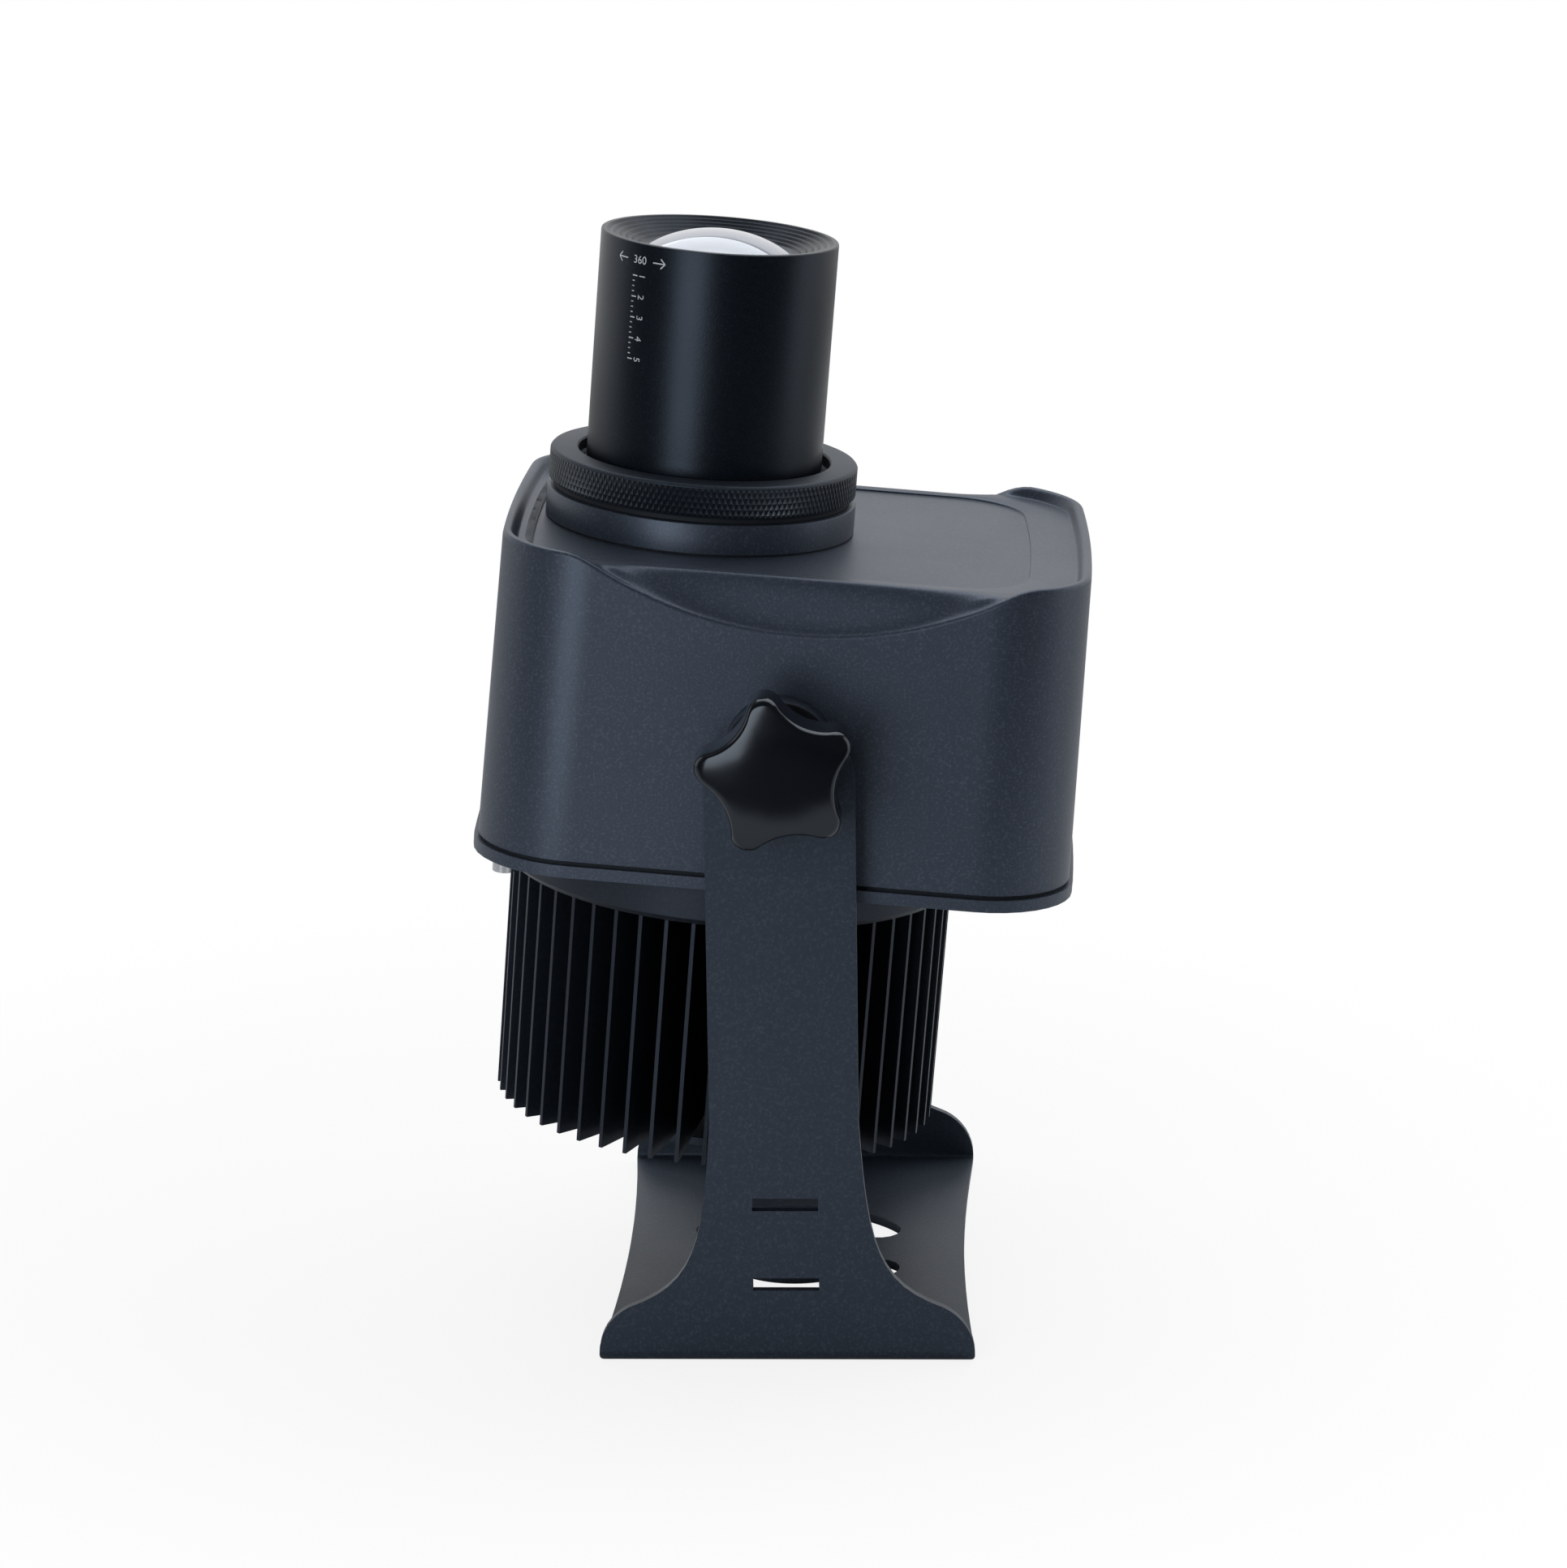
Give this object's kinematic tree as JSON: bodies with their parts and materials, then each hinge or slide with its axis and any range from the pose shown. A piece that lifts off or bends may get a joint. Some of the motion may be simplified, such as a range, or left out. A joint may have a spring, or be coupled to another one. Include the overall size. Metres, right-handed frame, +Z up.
{
  "type": "outdoor gobo projector",
  "caption": "Weatherproof gobo projector: finned light housing with a focusing lens barrel, clamped in a U-shaped yoke by star knobs so that it tilts.",
  "frame": {"origin": "centre of the round bolt hole in the yoke's base, on the face that stands on the ground", "axes": "+Z up and along the overall height, +Y along the tilt axis towards the far arm, +X towards the side of the head without the lens"},
  "size_m": [0.1987, 0.2376, 0.3512],
  "materials": {
    "powder_coat_dark": "dark blue-grey powder coat, fine texture",
    "coated_casting": "die-cast aluminium with dark blue-grey powder coat",
    "black_anodised": "black anodised, satin",
    "bare_aluminium": "machined",
    "black_rubber": "matt",
    "stainless": "plain stainless steel",
    "brass_insert": "turned",
    "black_nylon": "moulded",
    "board_white": "white solder mask on an aluminium board",
    "emitter_yellow": "phosphor under clear resin",
    "terminal_plastic": "moulded",
    "lens_glass": "polished",
    "knob_black": "moulded, glossy"
  },
  "bodies": {
    "yoke": {"yoke_bracket": "powder_coat_dark"},
    "head": {"friction_washers": "black_rubber", "pivot_inserts": "brass_insert", "front_housing": "coated_casting", "housing_gasket": "black_rubber", "rear_cover": "coated_casting", "rear_cover_screws": "stainless", "heatsink": "black_anodised", "heatsink_seal": "black_rubber", "heatsink_screws": "stainless", "end_plate": "black_anodised", "end_plate_standoffs": "stainless", "end_plate_screws": "stainless", "gland_body": "black_nylon", "gland_locknut": "black_nylon", "gland_seal": "black_rubber", "gland_cap": "black_nylon", "led_board": "board_white", "led_emitter": "emitter_yellow", "led_board_screws": "stainless", "condenser_tube": "black_anodised", "condenser_screws": "stainless", "condenser_lens_rear": "lens_glass", "condenser_spacer": "black_anodised", "condenser_lens_front": "lens_glass", "condenser_ring": "black_anodised", "gobo_holder": "bare_aluminium", "gobo_disc": "stainless", "gobo_spring_ring": "stainless", "gobo_holder_screws": "stainless", "led_driver": "bare_aluminium", "driver_screws": "stainless", "terminal_block": "terminal_plastic", "lens_collar": "black_anodised", "collar_gasket": "black_rubber", "collar_screws": "stainless"},
    "focus_carriage": {"focus_carriage": "bare_aluminium", "guide_pins": "stainless", "carriage_clip": "stainless", "rear_lens": "lens_glass", "rear_lens_ring": "black_anodised"},
    "barrel": {"lens_barrel": "black_anodised", "front_lens": "lens_glass", "lens_spacer": "black_anodised", "inner_lens": "lens_glass", "inner_lens_ring": "black_anodised"},
    "lock_seal": {"lock_ring_seal": "black_rubber"},
    "lock_ring": {"lock_ring": "black_anodised"},
    "washer_near": {"knob_washer_near": "stainless"},
    "knob_near": {"knob_near": "knob_black", "knob_stud_near": "stainless"},
    "washer_far": {"knob_washer_far": "stainless"},
    "knob_far": {"knob_far": "knob_black", "knob_stud_far": "stainless"}
  },
  "joints": [
    {"name": "head_tilt", "type": "hinge", "parent": "yoke", "child": "head", "pos_m": [0, 0, 0.2], "axis": [0, 1, 0], "range_deg": [-115, 105]},
    {"name": "focus_travel", "type": "slide", "parent": "head", "child": "focus_carriage", "axis": [0.0889, 0, 0.996], "range_m": [-0.0021, 0.0081]},
    {"name": "focus_turn", "type": "hinge", "parent": "focus_carriage", "child": "barrel", "pos_m": [-0.02763, 0, 0.26271], "axis": [0.0889, 0, 0.996], "range_deg": [-90, 360]},
    {"name": "lock_ring_travel", "type": "slide", "parent": "head", "child": "lock_seal", "axis": [0.0889, 0, 0.996], "range_m": [0, 0.0012]},
    {"name": "lock_ring_turn", "type": "hinge", "parent": "lock_seal", "child": "lock_ring", "pos_m": [-0.02763, 0, 0.26271], "axis": [0.0889, 0, 0.996], "range_deg": [0, 270]},
    {"name": "knob_travel_near", "type": "slide", "parent": "head", "child": "washer_near", "axis": [0, -1, 0], "range_m": [0, 0.0019]},
    {"name": "knob_turn_near", "type": "hinge", "parent": "washer_near", "child": "knob_near", "pos_m": [0, -0.1, 0.2], "axis": [0, -1, 0], "range_deg": [0, 540]},
    {"name": "knob_travel_far", "type": "slide", "parent": "head", "child": "washer_far", "axis": [0, 1, 0], "range_m": [0, 0.0019]},
    {"name": "knob_turn_far", "type": "hinge", "parent": "washer_far", "child": "knob_far", "pos_m": [0, 0.1, 0.2], "axis": [0, 1, 0], "range_deg": [0, 540]}
  ],
  "couplings": [
    {"joint": "focus_travel", "follows": "focus_turn", "m_per_rad": 0.0012732},
    {"joint": "lock_ring_travel", "follows": "lock_ring_turn", "m_per_rad": 0.00023873},
    {"joint": "knob_travel_near", "follows": "knob_turn_near", "m_per_rad": 0.00019894},
    {"joint": "knob_travel_far", "follows": "knob_turn_far", "m_per_rad": 0.00019894}
  ]
}
